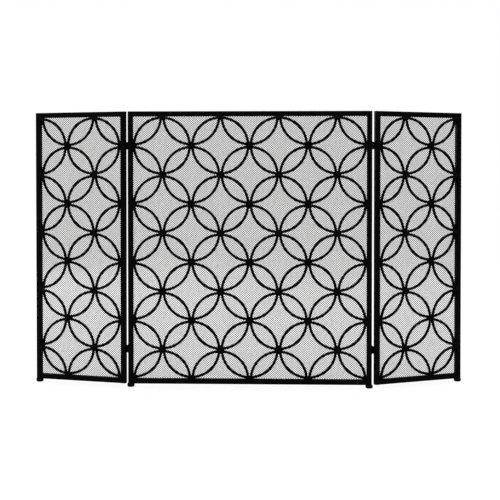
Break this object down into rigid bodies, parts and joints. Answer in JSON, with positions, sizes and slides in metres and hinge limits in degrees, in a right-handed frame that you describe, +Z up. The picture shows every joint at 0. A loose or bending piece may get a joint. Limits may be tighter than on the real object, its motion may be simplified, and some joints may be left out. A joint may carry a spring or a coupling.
{
  "type": "fireplace screen",
  "caption": "Folding fireplace screen: panels of square tube filled with overlapping rod rings, backed with wire cloth and joined by butt hinges, on small round feet.",
  "frame": {"origin": "on the floor under the middle of the whole screen's box, with the wings folded back as stored", "axes": "+Z up; the front of the screen faces -Y, and +X runs to the right as seen from the front"},
  "size_m": [1.2523, 0.1216, 0.7898],
  "materials": {
    "frame_tube": "satin",
    "ring_rod": "satin",
    "wire_cloth": "matte",
    "strip": "satin",
    "rivet": "satin",
    "hinge_leaf": "satin",
    "hinge_pin": "satin",
    "foot": "matte",
    "plug": "matte"
  },
  "bodies": {
    "center": {"center_back_rings": "ring_rod", "center_bottom_rail": "frame_tube", "center_bottom_strip": "strip", "center_corner_rings": "ring_rod", "center_end_half_rings": "ring_rod", "center_front_rings": "ring_rod", "center_left_foot": "foot", "center_left_stile": "frame_tube", "center_left_strip": "strip", "center_right_foot": "foot", "center_right_stile": "frame_tube", "center_right_strip": "strip", "center_rivets": "rivet", "center_side_half_rings": "ring_rod", "center_top_rail": "frame_tube", "center_top_strip": "strip", "center_wire_cloth": "wire_cloth", "left_lower_hinge_center_leaf": "hinge_leaf", "left_lower_hinge_pin": "hinge_pin", "left_upper_hinge_center_leaf": "hinge_leaf", "left_upper_hinge_pin": "hinge_pin", "right_lower_hinge_center_leaf": "hinge_leaf", "right_lower_hinge_pin": "hinge_pin", "right_upper_hinge_center_leaf": "hinge_leaf", "right_upper_hinge_pin": "hinge_pin"},
    "left_wing": {"left_lower_hinge_wing_leaf": "hinge_leaf", "left_upper_hinge_wing_leaf": "hinge_leaf", "left_wing_bottom_rail": "frame_tube", "left_wing_bottom_strip": "strip", "left_wing_corner_rings": "ring_rod", "left_wing_full_rings": "ring_rod", "left_wing_half_rings": "ring_rod", "left_wing_hinge_stile": "frame_tube", "left_wing_hinge_strip": "strip", "left_wing_outer_foot": "foot", "left_wing_outer_stile": "frame_tube", "left_wing_outer_strip": "strip", "left_wing_rivets": "rivet", "left_wing_stile_plug": "plug", "left_wing_top_rail": "frame_tube", "left_wing_top_strip": "strip", "left_wing_wire_cloth": "wire_cloth"},
    "right_wing": {"right_lower_hinge_wing_leaf": "hinge_leaf", "right_upper_hinge_wing_leaf": "hinge_leaf", "right_wing_bottom_rail": "frame_tube", "right_wing_bottom_strip": "strip", "right_wing_corner_rings": "ring_rod", "right_wing_full_rings": "ring_rod", "right_wing_half_rings": "ring_rod", "right_wing_hinge_stile": "frame_tube", "right_wing_hinge_strip": "strip", "right_wing_outer_foot": "foot", "right_wing_outer_stile": "frame_tube", "right_wing_outer_strip": "strip", "right_wing_rivets": "rivet", "right_wing_stile_plug": "plug", "right_wing_top_rail": "frame_tube", "right_wing_top_strip": "strip", "right_wing_wire_cloth": "wire_cloth"}
  },
  "joints": [
    {"name": "left_wing_fold", "type": "hinge", "parent": "center", "child": "left_wing", "pos_m": [-0.3454, -0.03809, 0.3997], "axis": [0, 0, -1], "range_deg": [-17.5, 167.5]},
    {"name": "right_wing_fold", "type": "hinge", "parent": "center", "child": "right_wing", "pos_m": [0.3554, -0.03809, 0.3997], "axis": [0, 0, 1], "range_deg": [-26, 159]}
  ]
}
